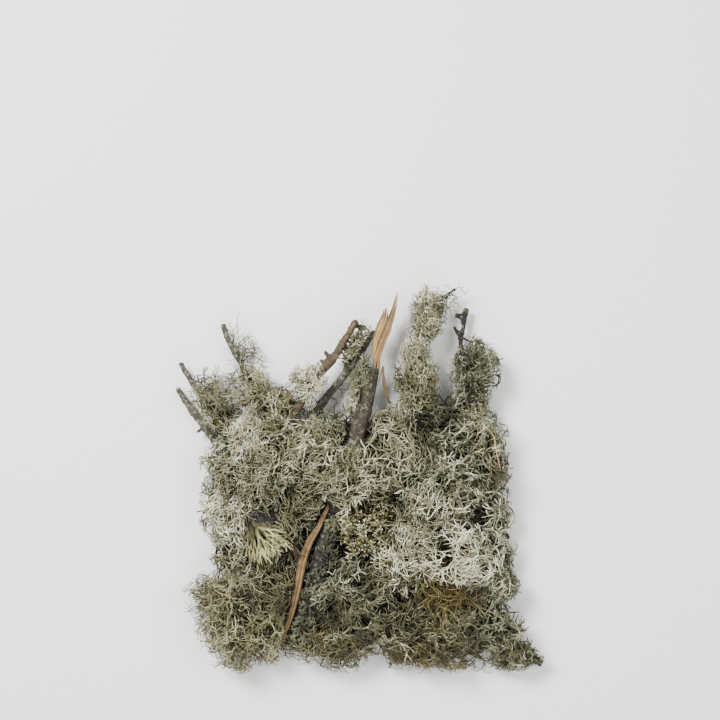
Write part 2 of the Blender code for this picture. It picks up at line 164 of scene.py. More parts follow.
def setStage():
    s = stageSettings
    camera = addObject("camera", bpy.data.cameras.new("camera"))
    camera.data.sensor_width = s["sensor"]
    camera.data.lens = s["sensor"] * s["cameraHeight"] / s["frameWidth"]
    camera.data.clip_end = s["cameraReach"] * mm
    camera.location = (s["frameCentre"][0] * mm, s["frameCentre"][1] * mm, s["cameraHeight"] * mm)
    bpy.context.scene.camera = camera

    for name, (place, size, watts) in s["lights"].items():
        lamp = bpy.data.lights.new(name, "AREA")
        lamp.shape = "DISK"
        lamp.size = size * mm
        lamp.energy = watts
        light = addObject(name, lamp)
        light.location = Vector(place) * mm
        light.rotation_euler = (-Vector(place)).to_track_quat("-Z", "Y").to_euler()

    world = bpy.data.worlds.new("softRoom")
    world.use_nodes = True
    sky = world.node_tree.nodes["Background"]
    sky.inputs["Color"].default_value = linearColour(s["skyColour"])
    sky.inputs["Strength"].default_value = s["skyStrength"]
    bpy.context.scene.world = world

    bm = bmesh.new()
    bmesh.ops.create_grid(bm, x_segments=1, y_segments=1, size=s["floorSize"] / 2 * mm)
    mesh = bpy.data.meshes.new("paleFloor")
    bm.to_mesh(mesh)
    bm.free()
    floor = addObject("paleFloor", mesh)
    material, tree = newMaterial("mattPaper", 0.9)
    shader = tree.nodes["Principled BSDF"]
    shader.inputs["Base Color"].default_value = linearColour(s["floorColour"])
    mesh.materials.append(material)


# Materials

# How often each pattern comes back in a metre, from the real size of what it draws.
patternScales = {
    "lichenMottle": 420.0,  # patches of 2.4 mm
    "lichenWrinkles": 1500.0,  # 0.7 mm
    "barkStreaks": 260.0,  # 3.8 mm
    "barkCrust": 330.0,  # 3 mm
    "barkCracks": 520.0,  # 1.9 mm
    "woodBlotches": 160.0,  # 6 mm
    "woodFibres": 1100.0,  # 0.9 mm, coarser than real fibres so that they show
}

# Dry lichen: matt and leathery. Tone runs from dark olive, for a strap's base and for painted shade
# deep in a tuft, to its ivory tip.
lichenFinishes = {
    "oakmoss": {
        "tones": [(0.0, "#12130D"), (0.25, "#353627"), (0.5, "#606149"), (0.75, "#A3A284"),
                  (1.0, "#F4F0D4")],
        "warmColour": "#8D7E45",
        "baseColour": "#211F18",
    },
    "strap_lichen": {
        "tones": [(0.0, "#1A1B12"), (0.30, "#4A4C33"), (0.65, "#9A976A"), (1.0, "#EAE2B0")],
        "warmColour": "#A0904C",
        "baseColour": "#2A2719",
    },
    "beard_lichen": {
        "tones": [(0.0, "#16160F"), (0.30, "#404130"), (0.65, "#7E7D5C"), (1.0, "#CECAA2")],
        "warmColour": "#84703A",
        "baseColour": "#1C1A12",
    },
    "shield_lichen": {
        "tones": [(0.0, "#1E2018"), (0.35, "#4C4E40"), (0.70, "#868872"), (1.0, "#CACAB2")],
        "warmColour": "#7F7842",
        "baseColour": "#2C2C22",
    },
}


def makeLichen(slotName):
    # thallus skin: matt cortex over white threads, so pale where thin and mottled by dust
    finish = lichenFinishes[slotName]
    material, tree = newMaterial(slotName + "Thallus", 0.86, ior=1.45)
    marks = {
        name: addNode(tree, "ShaderNodeAttribute", {"attribute_name": name}).outputs["Fac"]
        for name in growthMarks
    }
    place = addNode(tree, "ShaderNodeTexCoord").outputs["Object"]
    mottle = addNode(
        tree, "ShaderNodeTexNoise",
        inputs={"Vector": place, "Scale": patternScales["lichenMottle"], "Detail": 3.0}
    ).outputs["Fac"]
    # each patch shifts the tone up or down
    shift = addNode(
        tree, "ShaderNodeMapRange", inputs={"Value": mottle, "From Min": 0.3, "From Max": 0.7,
                                            "To Min": -0.13, "To Max": 0.13}
    ).outputs["Result"]
    tone = addNode(
        tree, "ShaderNodeMath", {"operation": "ADD", "use_clamp": True},
        {0: marks["tone"], 1: shift}
    ).outputs["Value"]
    skin = makeRamp(tree, tone, finish["tones"])
    warmed = addNode(
        tree, "ShaderNodeMix", {"data_type": "RGBA"},
        {"Factor": marks["warm"], 6: skin, 7: linearColour(finish["warmColour"])}
    ).outputs[2]
    # the oldest part of a thallus, next to its root, is brown and dirty
    old = addNode(
        tree, "ShaderNodeMapRange",
        inputs={"Value": marks["age"], "From Min": 0.05, "From Max": 0.45, "To Min": 0.85,
                "To Max": 0.0}
    ).outputs["Result"]
    colour = addNode(
        tree, "ShaderNodeMix", {"data_type": "RGBA"},
        {"Factor": old, 6: warmed, 7: linearColour(finish["baseColour"])}
    ).outputs[2]
    wrinkles = addNode(
        tree, "ShaderNodeTexNoise",
        inputs={"Vector": place, "Scale": patternScales["lichenWrinkles"], "Detail": 2.0}
    ).outputs["Fac"]
    return finishMaterial(material, colour, wrinkles, 0.5, 0.15)


# Weathered bark: the colours of its streaks, then of the crust on it and where that starts.
barkFinishes = {
    "dark_bark": {
        "barks": [(0.25, "#0E0D0B"), (0.5, "#201D18"), (0.75, "#3B342A")],
        "crustColour": "#6C6E5A",
        "crustShare": 0.55,
        "roughness": 0.9,
    },
    "stem_bark": {
        "barks": [(0.2, "#15130F"), (0.45, "#2F2A23"), (0.6, "#463D2E"), (0.8, "#665B44")],
        "crustColour": "#7A7B65",
        "crustShare": 0.57,
        "roughness": 0.9,
    },
    "brown_bark": {
        "barks": [(0.2, "#231C14"), (0.5, "#473A28"), (0.65, "#685330"), (0.8, "#7E6A45")],
        "crustColour": "#757562",
        "crustShare": 0.58,
        "roughness": 0.8,
    },
    "grey_bark": {
        "barks": [(0.2, "#211F1A"), (0.5, "#434034"), (0.8, "#6A6555")],
        "crustColour": "#7A7D69",
        "crustShare": 0.54,
        "roughness": 0.9,
    },
}


def makeBark(slotName):
    # thin rough bark of a small branch: dull, cracked in fine plates and dotted with pale crust
    finish = barkFinishes[slotName]
    material, tree = newMaterial(slotName + "Weathered", finish["roughness"])
    place = addNode(tree, "ShaderNodeTexCoord").outputs["Object"]
    streaks = addNode(
        tree, "ShaderNodeTexNoise",
        inputs={"Vector": place, "Scale": patternScales["barkStreaks"], "Detail": 6.0,
                "Roughness": 0.65}
    ).outputs["Fac"]
    bark = makeRamp(tree, streaks, finish["barks"])
    spots = addNode(
        tree, "ShaderNodeTexNoise",
        inputs={"Vector": place, "Scale": patternScales["barkCrust"], "Detail": 4.0,
                "Roughness": 0.7, "Distortion": 0.6}
    ).outputs["Fac"]
    crust = addNode(
        tree, "ShaderNodeMapRange", inputs={"Value": spots, "From Min": finish["crustShare"],
                                            "From Max": finish["crustShare"] + 0.05}
    ).outputs["Result"]
    colour = addNode(
        tree, "ShaderNodeMix", {"data_type": "RGBA"},
        {"Factor": crust, 6: bark, 7: linearColour(finish["crustColour"])}
    ).outputs[2]
    cracks = addNode(
        tree, "ShaderNodeTexVoronoi", {"feature": "DISTANCE_TO_EDGE"},
        {"Vector": place, "Scale": patternScales["barkCracks"]}
    ).outputs["Distance"]
    height = addNode(
        tree, "ShaderNodeMath", {"operation": "ADD"}, {0: streaks, 1: cracks}
    ).outputs["Value"]
    return finishMaterial(material, colour, height, 0.8, 0.5)


# Torn sapwood, from near-black brown, used for dark bits and for painted shade between fibres, to a
# clean split.
woodTones = [(0.06, "#1D150C"), (0.30, "#66502E"), (0.54, "#A78148"), (0.8, "#D8B06C"),
             (1.0, "#E2CC9C")]


def makeBareWood():
    # dull, pale tan, with brown fibre lines that follow the grain, marked along each fibre
    material, tree = newMaterial("tornSapwood", 0.62)
    grain = addNode(tree, "ShaderNodeAttribute", {"attribute_name": "grain"}).outputs["Fac"]
    place = addNode(tree, "ShaderNodeTexCoord").outputs["Object"]
    blotches = addNode(
        tree, "ShaderNodeTexNoise",
        inputs={"Vector": place, "Scale": patternScales["woodBlotches"], "Detail": 4.0}
    ).outputs["Fac"]
    mixed = addNode(
        tree, "ShaderNodeMix", {"data_type": "FLOAT"}, {"Factor": 0.45, 2: grain, 3: blotches}
    ).outputs[0]
    fibres = addNode(
        tree, "ShaderNodeTexNoise",
        inputs={"Vector": place, "Scale": patternScales["woodFibres"], "Detail": 3.0}
    ).outputs["Fac"]
    return finishMaterial(material, makeRamp(tree, mixed, woodTones), fibres, 0.5, 0.2)


# Shared shape helpers

def treeOf(nodeNames):
    # a search tree over the faces of CAD nodes, in millimetres
    points, faces = [], []
    for name in nodeNames:
        mesh = frame["nodes"][name].data
        start = len(points)
        points += [vertex.co / mm for vertex in mesh.vertices]
        faces += [[start + i for i in face.vertices] for face in mesh.polygons]
    return BVHTree.FromPolygons(points, faces), points, faces


def treeOfTops(tops):
    # the faces of each node from its lowest y upwards, as a search tree
    points, faces = [], []
    for name, lowest in tops.items():
        _, places, sides = treeOf([name])
        start = len(points)
        points += places
        faces += [[start + i for i in face] for face in sides
                  if min(places[i].y for i in face) > lowest + tangle.y]
    return BVHTree.FromPolygons(points, faces)


pastFace = 0.001  # a ray that met a face starts again this far behind it
nearSkin = 0.3  # nearer than this the face's own normal says which way is out


def isInside(tree, place):
    # a ray upwards leaves the solids as many times as it enters them, or once more from inside one
    inside = False
    start = place
    while True:
        spot = tree.ray_cast(start, up)[0]
        if spot is None:
            return inside
        inside = not inside
        start = spot + up * pastFace


def signedRoom(tree, place, reach=1000.0):
    # the nearest point, the way out there, and how far outside it the place is: below 0 is inside
    spot, normal, _, distance = tree.find_nearest(place, reach)
    if spot is None:
        return None
    room = -distance if isInside(tree, place) else distance
    if distance > nearSkin:
        normal = (place - spot) / room
    return spot, normal, room


def finishPiece(name, bm, material, nodeName=None):
    # turns a bmesh in millimetres into a piece, which may stand for a CAD node
    bmesh.ops.scale(bm, vec=(mm, mm, mm), verts=bm.verts)
    mesh = bpy.data.meshes.new(name)
    bm.to_mesh(mesh)
    bm.free()
    mesh.shade_smooth()
    mesh.materials.append(material)
    piece = addObject(name, mesh)
    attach(piece, "root")
    if nodeName:
        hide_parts(nodeName)


# Bark

barkShapes = {
    "voxel": 0.88,
    "wear": 0.5,  # how far each of the rounds below wears the edges down
    "wearRounds": 10,
    "plateHeight": 0.45,  # how high the rough plates stand
    "plateSize": 2.6,
    "plateGap": 0.4,
    "swellHeight": 0.55,  # slow swellings
    "swellSize": 11.0,
    "crumbHeight": 0.16,
    "crumbSize": 0.9,
    "thickness": 0.15,  # what all of it adds to the form
    "knotsPerArea": 1 / 150,  # one knot for so many square millimetres of bark
    "knotRadius": (0.9, 1.7),
    "knotSunk": 0.45,
    "stubSides": 12,
}
barkSlots = {
    "stem_base": "dark_bark",
    "stem_middle": "dark_bark",
    "stem_top": "stem_bark",
    "brown_limb": "brown_bark",
    "grey_limb": "grey_bark",
    "left_limb_low": "grey_bark",
    "left_limb_high": "grey_bark",
    "left_limb_back": "grey_bark",
    "left_limb_side": "grey_bark",
    "right_limb": "dark_bark",
    "right_limb_fork": "dark_bark",
    "right_limb_side": "dark_bark",
    "right_limb_low": "dark_bark",
    "bottom_limb_right": "dark_bark",
    "bottom_limb_left": "dark_bark",
}

# Broken side twigs: where each leaves the wood, where it ends and its radius at both.
barkStubs = {
    "brown_limb": [((-18, 85, 18), (-22.5, 90, 19.5), 2.0, 1.2),
                   ((-20, 82, 18), (-25, 84.5, 19.5), 1.8, 1.1)],
    "grey_limb": [((-7, 79, 9), (-11.5, 84, 12), 1.3, 0.7)],
    "left_limb_back": [((-79, 90, 8), (-75, 92, 11), 1.6, 1.0),
                       ((-70, 74, 8), (-75, 78, 10), 1.2, 0.6)],
    "left_limb_high": [((-100, 62, 8), (-94, 66, 11), 1.1, 0.6)],
    "left_limb_low": [((-97, 42, 7), (-103, 39, 9), 1.3, 0.8)],
    "right_limb": [((36.5, 100, 13), (42, 102, 14.5), 1.2, 0.6)],
    "right_limb_fork": [((63.5, 98, 8), (58.5, 105.5, 10), 1.4, 0.9),
                        ((65, 111, 8), (59.5, 112.5, 9), 1.7, 1.4)],
    "bottom_limb_right": [((84, -97, 5), (104, -106, 5), 2.0, 1.2)],
}


def evenSkin(nodeName, seed):
    # an even skin over a CAD node's form, with stubs and knots grown in and the facets worn off
    s = barkShapes
    rng = random.Random(seed)
    form = bmesh.new()
    form.from_mesh(frame["nodes"][nodeName].data)
    bmesh.ops.remove_doubles(form, verts=form.verts, dist=0.001 * mm)
    spots = [(face.calc_center_median(), face.normal.copy()) for face in form.faces]
    areas = [face.calc_area() / mm**2 for face in form.faces]
    for place, normal in rng.choices(spots, weights=areas, k=round(sum(areas) * s["knotsPerArea"])):
        radius = rng.uniform(*s["knotRadius"]) * mm
        centre = place - normal * radius * s["knotSunk"]
        bmesh.ops.create_icosphere(
            form, subdivisions=2, radius=radius, matrix=Matrix.Translation(centre)
        )
    for start, end, startRadius, endRadius in barkStubs.get(nodeName, []):
        start, end = (Vector(start) + tangle) * mm, (Vector(end) + tangle) * mm
        along = (end - start).to_track_quat("Z", "Y").to_matrix().to_4x4()
        bmesh.ops.create_cone(
            form, cap_ends=True, segments=s["stubSides"], radius1=startRadius * mm,
            radius2=endRadius * mm, depth=(end - start).length,
            matrix=Matrix.Translation((start + end) / 2) @ along
        )
    mesh = bpy.data.meshes.new("skinSource")
    form.to_mesh(mesh)
    form.free()
    helper = addObject("skinSource", mesh)
    remesh = helper.modifiers.new("skin", "REMESH")
    remesh.mode = "VOXEL"
    remesh.voxel_size = s["voxel"] * mm
    worn = helper.modifiers.new("worn", "SMOOTH")
    worn.factor = s["wear"]
    worn.iterations = s["wearRounds"]
    bpy.context.view_layer.update()
    shown = helper.evaluated_get(bpy.context.evaluated_depsgraph_get())
    bm = bmesh.new()
    bm.from_mesh(shown.to_mesh())
    shown.to_mesh_clear()
    bpy.data.objects.remove(helper)
    bpy.data.meshes.remove(mesh)
    bmesh.ops.scale(bm, vec=(1 / mm,) * 3, verts=bm.verts)
    return bm


def growBark(nodeName, material, seed):
    # bark swells, cracks in plates and crumbles on the skin
    s = barkShapes
    bm = evenSkin(nodeName, seed)
    bm.normal_update()
    shifts = []
    for vert in bm.verts:
        swell = noise.noise(vert.co / s["swellSize"]) * s["swellHeight"]
        plates = abs(noise.noise(vert.co / s["plateSize"])) * 2 - s["plateGap"]
        crumbs = noise.noise(vert.co / s["crumbSize"])
        rise = swell + plates * s["plateHeight"] + crumbs * s["crumbHeight"] + s["thickness"]
        shifts.append(vert.normal * rise)
    for vert, shift in zip(bm.verts, shifts):
        vert.co += shift
    finishPiece(nodeName + "_bark", bm, material, nodeName)


# Bare wood

# Each strip is torn wood seen from above: x, y, z of its middle line and its width there.
woodStrips = {
    "torn_wood_tip": {
        "strips": [
            [(9.2, 79.0, 19, 1.2), (8.7, 90.0, 19, 2.4), (9.3, 96.0, 19, 4.2),
             (12.0, 103.0, 19, 5.0), (14.9, 110.0, 19, 5.0), (16.6, 119.0, 19, 1.6)],
            [(10.0, 76.5, 19, 5.0), (10.5, 86.9, 19, 4.2), (13.2, 94.5, 19, 4.2),
             (16.8, 102.7, 19, 4.7), (19.3, 110.0, 19, 3.6), (21.6, 118.0, 19, 2.8),
             (23.8, 128.0, 19, 0.8)],
        ],
        "across": 6,
        "layers": (-1.1, 0.9),
        "thick": 2.0,
        "raggedFoot": 0.09,
        "raggedTip": 0.14,
        "shades": (0.16, 0.88),
    },
    "peeled_splinter": {
        "strips": [
            [(-18.4, -3.5, 25.2, 1.4), (-21.6, -10.5, 25.3, 2.5), (-25.8, -19.5, 25.2, 3.1),
             (-31.7, -28.5, 24.9, 4.2), (-35.3, -38.5, 24.1, 4.8), (-37.5, -50.0, 23.3, 4.5),
             (-39.0, -58.6, 22.5, 4.2), (-41.8, -70.3, 21.8, 3.7), (-44.7, -79.7, 21.6, 3.2),
             (-49.8, -95.8, 21.6, 1.2)],
        ],
        "across": 5,
        "layers": (-0.5, 0.4),
        "thick": 1.3,
        "raggedFoot": 0.04,
        "raggedTip": 0.10,
        "shades": (0.0, 0.40),
    },
    "peeled_fibre": {
        "strips": [
            [(14.3, 81.0, 19, 1.0), (14.5, 75.0, 19, 1.3), (15.2, 68.0, 18.8, 1.4),
             (17.0, 61.5, 18, 1.1), (19.6, 55.0, 17.4, 0.6)],
            [(14.0, 80.6, 19, 0.7), (12.6, 75.0, 19.4, 0.8), (11.4, 69.5, 19.8, 0.5)],
        ],
        "across": 2,
        "layers": (-0.1, 0.2),
        "thick": 1.1,
        "raggedFoot": 0.05,
        "raggedTip": 0.15,
        "shades": (0.12, 0.50),
    },
}
fibreStations = 16
fibreSides = 5
sideStreaks = (-0.5, 0.15)  # how much darker or lighter each side of a fibre is
grainSpeckle = 0.08
laneShift = 0.05
fibreWander = 0.06
fibreOverlap = 1.5  # a fibre's width over its lane's
leastFibre = 0.25
outerLanes = 0.35  # fibres this far off the middle get painted shade
outerPaintedShade = 0.25
nearShare = 0.03  # a strip's direction is read this far ahead and behind


def alongStrip(rows, share):
    # place and width at this share of a strip
    at = min(1.0, max(0.0, share)) * (len(rows) - 1)
    i = min(int(at), len(rows) - 2)
    return Vector(rows[i]).lerp(Vector(rows[i + 1]), at - i)


def growFibre(bm, route, widths, thick, shade, rng):
    # one bundle of wood fibres: a ring pulled along its route
    fibre = bmesh.new()
    grain = fibre.verts.layers.float.new("grain")
    bmesh.ops.create_circle(fibre, cap_ends=True, segments=fibreSides, radius=1.0)
    cap = fibre.faces[:]
    corners = [vert.co.copy() for vert in cap[0].verts]
    streaks = [rng.uniform(*sideStreaks) for _ in corners]
    for i, (place, width) in enumerate(zip(route, widths)):
        if i:
            cap = bmesh.ops.extrude_discrete_faces(fibre, faces=cap)["faces"]
        along = (route[min(i + 1, len(route) - 1)] - route[max(i - 1, 0)]).normalized()
        across = along.cross(up).normalized()
        rise = across.cross(along)
        for vert, corner, streak in zip(cap[0].verts, corners, streaks):
            slim = min(1.0, width / thick)
            vert.co = place + across * corner.x * width / 2 + rise * corner.y * thick / 2 * slim
            speckle = rng.uniform(-grainSpeckle, grainSpeckle)
            vert[grain] = min(1, max(0, shade + streak + speckle))
    bmesh.ops.holes_fill(fibre, edges=[edge for edge in fibre.edges if edge.is_boundary])
    bmesh.ops.recalc_face_normals(fibre, faces=fibre.faces)
    addTo(bm, fibre)


def growWood(nodeName, material, seed):
    # a torn strip is a sheaf of fibres side by side, each ending where it broke
    rng = random.Random(seed)
    wood = woodStrips[nodeName]
    bm = bmesh.new()
    bm.verts.layers.float.new("grain")
    lanes = wood["across"]
    for rows in wood["strips"]:
        for layer in wood["layers"]:
            for lane in range(lanes):
                sideways = (lane + 0.5) / lanes - 0.5 + rng.uniform(-laneShift, laneShift)
                start = rng.uniform(-0.2, 1.0) * wood["raggedFoot"]
                end = 1 - rng.uniform(0.0, 1.0) * wood["raggedTip"] * (0.4 + abs(sideways) * 1.6)
                route, widths = [], []
                for i in range(fibreStations):
                    share = i / (fibreStations - 1)
                    at = start + (end - start) * share
                    x, y, z, width = alongStrip(rows, at)
                    ahead = alongStrip(rows, at + nearShare)
                    behind = alongStrip(rows, at - nearShare)
                    across = (ahead.xyz - behind.xyz).cross(up).normalized()
                    crown = 0.5 * wood["thick"] * (0.5 - 2 * sideways**2)
                    wander = noise.noise(Vector((share * 5, lane * 3, layer + seed))) * fibreWander
                    place = Vector((x, y, z + layer + crown)) + across * (sideways + wander) * width
                    route.append(place + tangle)
                    pointed = min(1.0, 0.25 + share * 14, 0.12 + (1 - share) * 5)
                    widths.append(max(leastFibre, width / lanes * fibreOverlap * pointed))
                # painted shade: the outer fibres of a strip are darkened where the strips meet
                edge = outerPaintedShade if abs(sideways) > outerLanes else 0.0
                shade = rng.uniform(*wood["shades"]) - edge
                growFibre(bm, route, widths, wood["thick"], shade, rng)
    finishPiece(nodeName + "_fibres", bm, material, nodeName)


def addTo(bm, part):
    # the part's mesh joins the piece
    joint = bpy.data.meshes.new("part")
    part.to_mesh(joint)
    part.free()
    bm.from_mesh(joint)
    bpy.data.meshes.remove(joint)


# Lichens

# Each habit is how one kind grows, in mm and degrees. A strap is flat with a low keel below.
habits = {
    "antler": {
        "width": 1.75, "taper": 0.82, "tip": 0.5, "keel": 0.22, "step": 2.35,
        "rootRun": 0.36, "runs": (6.8, 5.8, 4.8, 3.4), "spread": 40, "lyre": 0.45, "curl": 9,
        "twist": 9, "hug": 0.35, "faceOut": 0.16, "slack": 2.0, "layers": 7.0, "perArea": 1 / 16,
        "oldShare": 0.24, "rootFollow": 0.55,
    },
    "brush": {
        "width": 1.25, "taper": 0.85, "tip": 0.4, "keel": 0.25, "step": 2.05,
        "rootRun": 0.36, "runs": (5.0, 4.4, 3.6, 2.8), "spread": 38, "lyre": 0.3, "curl": 12,
        "twist": 14, "hug": 0.25, "faceOut": 0.1, "slack": 1.8, "layers": 4.5, "perArea": 1 / 8,
        "oldShare": 0.1, "rootFollow": 0.85,
    },
    "beard": {
        "width": 0.95, "taper": 0.88, "tip": 0.35, "keel": 0.35, "step": 2.4,
        "rootRun": 0.36, "runs": (8.5, 7.5, 6.0, 4.5), "spread": 42, "lyre": 0.2, "curl": 17,
        "twist": 12, "hug": 0.3, "faceOut": 0.04, "slack": 2.2, "layers": 6.0, "perArea": 1 / 12,
        "oldShare": 0.24, "rootFollow": 0.55,
    },
    "network": {
        "width": 1.6, "taper": 0.84, "tip": 0.55, "keel": 0.22, "step": 2.4,
        "rootRun": 0.36, "runs": (8.0, 7.0, 5.8, 4.2), "spread": 42, "lyre": 0.5, "curl": 13,
        "twist": 9, "hug": 0.55, "faceOut": 0.2, "slack": 2.0, "layers": 6.0, "perArea": 1 / 19,
        "oldShare": 0.24, "rootFollow": 0.5,
    },
    "fan": {
        "width": 3.6, "taper": 0.74, "tip": 0.8, "keel": 0.14, "step": 2.0,
        "rootRun": 0.42, "runs": (5.0, 5.0, 4.5, 4.0), "spread": 14, "lyre": 0.4, "curl": 5,
        "twist": 5, "hug": 0.3, "faceOut": 0.3, "slack": 1.6, "layers": 4.0, "perArea": 1 / 75,
        "oldShare": 0.0, "rootFollow": 0.0,
    },
    "leafy": {
        "width": 1.9, "taper": 0.98, "tip": 1.5, "keel": 0.2, "step": 1.6,
        "rootRun": 0.40, "runs": (3.0, 2.6, 2.2), "spread": 42, "lyre": 0.3, "curl": 16,
        "twist": 16, "hug": 0.5, "faceOut": 0.3, "slack": 1.2, "layers": 5.0, "perArea": 1 / 7,
        "oldShare": 0.24, "rootFollow": 0.7,
    },
    "shield": {
        "width": 2.0, "taper": 0.95, "tip": 1.4, "keel": 0.08, "step": 1.2,
        "rootRun": 0.50, "runs": (2.6, 2.2, 1.8), "spread": 36, "lyre": 0.3, "curl": 10,
        "twist": 4, "hug": 0.9, "faceOut": 0.8, "slack": 0.8, "layers": 0.0, "perArea": 1 / 7,
        "oldShare": 0.0, "rootFollow": 0.0,
    },
    "thread": {
        "width": 0.6, "taper": 0.9, "tip": 0.3, "keel": 0.5, "step": 1.6,
        "rootRun": 0.5, "runs": (6.0, 5.0, 3.5), "spread": 34, "lyre": 0.0, "curl": 14,
        "twist": 5, "hug": 0.0, "faceOut": 0.0,
    },
    "curled": {
        "width": 5.0, "taper": 0.9, "tip": 3.5, "keel": 0.3, "step": 1.5,
        "rootRun": 0.4, "runs": (5.0, 4.0), "spread": 34, "lyre": 0.2, "curl": 22,
        "twist": 8, "hug": 0.0, "faceOut": 0.0,
    },
}

# Each tuft: its habit, its tone from shaded (0) to ivory (1), and what isn't usual about it.
usualTuft = {
    "slot": "oakmoss",
    "warm": 0.05,
    "fill": 1.0,
    "leastReach": 3.0,  # a thallus that would be shorter isn't grown
    "granules": 0,
    "overBark": False,  # whether it may lie over what shows from above
}
tufts = {
    "oakmoss_crown": {"habit": "network", "tone": 0.58},
    "oakmoss_upper_right": {"habit": "network", "tone": 0.5},
    "oakmoss_right_edge": {"habit": "network", "tone": 0.51},
    "oakmoss_upper_middle": {"habit": "network", "tone": 0.56, "warm": 0.12},
    "oakmoss_brightest": {"habit": "network", "tone": 1.0},
    "oakmoss_right_lower": {"habit": "network", "tone": 0.7, "warm": 0.03},
    "oakmoss_corner": {"habit": "network", "tone": 0.44},
    "oakmoss_low_middle": {"habit": "network", "tone": 0.36, "warm": 0.1},
    "oakmoss_low_right": {"habit": "network", "tone": 0.36, "warm": 0.12},
    "oakmoss_star": {"habit": "network", "tone": 0.48, "warm": 0.08},
    "oakmoss_middle": {"habit": "antler", "tone": 0.68},
    "oakmoss_inner": {"habit": "antler", "tone": 0.48, "warm": 0.1},
    "oakmoss_stem_fringe": {"habit": "antler", "tone": 0.56, "warm": 0.15},
    "oakmoss_centre_left": {"habit": "antler", "tone": 0.43},
    "oakmoss_centre_haze": {"habit": "antler", "tone": 0.62},
    "oakmoss_left_middle": {"habit": "antler", "tone": 0.49, "warm": 0.1},
    "oakmoss_left_edge": {"habit": "antler", "tone": 0.93, "warm": 0.03},
    "oakmoss_left_rise": {"habit": "antler", "tone": 0.52, "warm": 0.06},
    "oakmoss_ivory": {"habit": "brush", "tone": 0.68, "warm": 0.03, "fill": 0.8},
    "oakmoss_curly": {"habit": "antler", "tone": 0.62, "warm": 0.22},
    "oakmoss_left_low": {"habit": "antler", "tone": 0.48, "warm": 0.08},
    "oakmoss_under_splinter": {"habit": "antler", "tone": 0.4, "warm": 0.15},
    "oakmoss_brush": {"habit": "brush", "tone": 0.49, "warm": 0.15, "fill": 1.2},
    "oakmoss_brush_top": {"habit": "brush", "tone": 0.53, "warm": 0.15, "fill": 1.1},
    "oakmoss_fork_brush": {"habit": "brush", "tone": 0.38, "warm": 0.0, "fill": 0.8},
    "oakmoss_limb_end": {"habit": "brush", "tone": 0.36},
    "oakmoss_bud": {"habit": "brush", "tone": 0.74, "warm": 0.22, "overBark": True},
    "oakmoss_lowest_right": {"habit": "brush", "tone": 0.4, "warm": 0.1},
    "strap_fan_left": {"habit": "fan", "slot": "strap_lichen", "tone": 0.6, "warm": 0.08,
                       "root": (0.12, 0.95, 0.45), "leastReach": 17.0},
    "strap_fan_right": {"habit": "antler", "tone": 0.86, "warm": 0.03},
    "leafy_lichen": {"habit": "leafy", "tone": 0.34, "warm": 0.32, "granules": 750},
    "beard_left": {"habit": "beard", "slot": "beard_lichen", "tone": 0.5, "fill": 0.6},
    "beard_hanging": {"habit": "beard", "slot": "beard_lichen", "tone": 0.58, "fill": 0.55},
    "beard_back": {"habit": "beard", "slot": "beard_lichen", "tone": 0.5, "warm": 0.1},
    "beard_big": {"habit": "beard", "slot": "beard_lichen", "tone": 0.59, "warm": 0.12},
    "beard_upper": {"habit": "beard", "slot": "beard_lichen", "tone": 0.55, "warm": 0.1},
    "beard_ochre": {"habit": "beard", "slot": "beard_lichen", "tone": 0.27, "warm": 0.5},
    "beard_bottom_right": {"habit": "beard", "slot": "beard_lichen", "tone": 0.41, "warm": 0.3},
    "beard_bottom_middle": {"habit": "beard", "slot": "beard_lichen", "tone": 0.34, "warm": 0.15},
    "beard_grey_limb": {"habit": "brush", "slot": "beard_lichen", "tone": 0.55, "warm": 0.0},
    "shield_lichen_stem": {"habit": "shield", "slot": "shield_lichen", "tone": 0.36, "warm": 0.1,
                           "overBark": True},
    "shield_lichen_butt": {"habit": "shield", "slot": "shield_lichen", "tone": 0.42, "warm": 0.1,
                           "overBark": True},
}

# Where straps may grow.
floorRoom = 0.7  # how far the middle of a strap stays off the floor
leastRoom = 0.1  # and its edges
proudShare = 0.025  # growth stands this share of a side out of the CAD box, and no more
boxLow, boxHigh = (Vector(corner) / mm for corner in cadBox)
growthLow, growthHigh = boxLow.lerp(boxHigh, -proudShare), boxHigh.lerp(boxLow, -proudShare)
growthLow.z = floorRoom
barkRoom = 0.9  # how far a strap stays off bark and bare wood
barkLift = 0.4  # how much it turns away there
boxTurn = 0.3  # and how much it turns along the floor and the sides
woodReach = 3.0  # wood further off than this isn't looked for
farFromBark = 16.0  # a strap this far off starts in the air of its tuft
rootSunk = 0.3  # how deep in the bark a strap starts
skinDepth = 2.5  # a strap this near to the tuft's skin bends over and follows it
tipRoom = 2.2  # its last tips stand this much further out
pullBack = 0.8  # the share of what is too far out that one step pulls back
mostPull = 3.0
canopyBlend = 8.0  # how widely the hollows between neighbouring tufts fill up
aimSpread = 3.5  # how far a strap leans out of its own tuft
coverReach = 30  # so far above what shows from above nothing else grows

# How a strap bends and forks, where its habit doesn't say.
rootTilt = 0.4
rootSteps = 2  # its first steps come out of the bark
leastRootRun = 3.0
runSpread = (0.65, 1.4)  # shortest and longest run of a kind
stepWander = 4  # degrees
liftShare = 0.7  # its curl up and down, as a share of its habit's curl sideways
mostOverhang = -0.3  # where its tuft's skin leans over more than this, its upper side faces in
tipPower = 1.5  # above 1 it keeps its width for longer and then narrows fast
forkWiden = 1.32  # a strap widens before it forks
forkSpread = (0.7, 1.25)  # the least and the most of its habit's angle
strongSide = (0.7, 1.05)  # the stronger half turns less and stays wider
weakSide = (1.3, 0.9)
earlyEnd = 0.08  # the share of later forks that never grow

# How light each place on a strap is painted, in its tone.
# tips lighter and bases darker: partly the real age of a strap, partly painted light on its outer
# tips
ageShade = 0.3
paintedDepthShade = 0.55
# painted shade along the keel under each strap
paintedKeelShade = 0.08
lightDepth = 1  # growth down to this depth inside a tuft gets no painted shade
darkDepth = 7.5  # and over this much more its painted shade grows as dark as it can
patchSize = 13.0  # the size and strength of lighter and darker patches
patchShade = 0.24

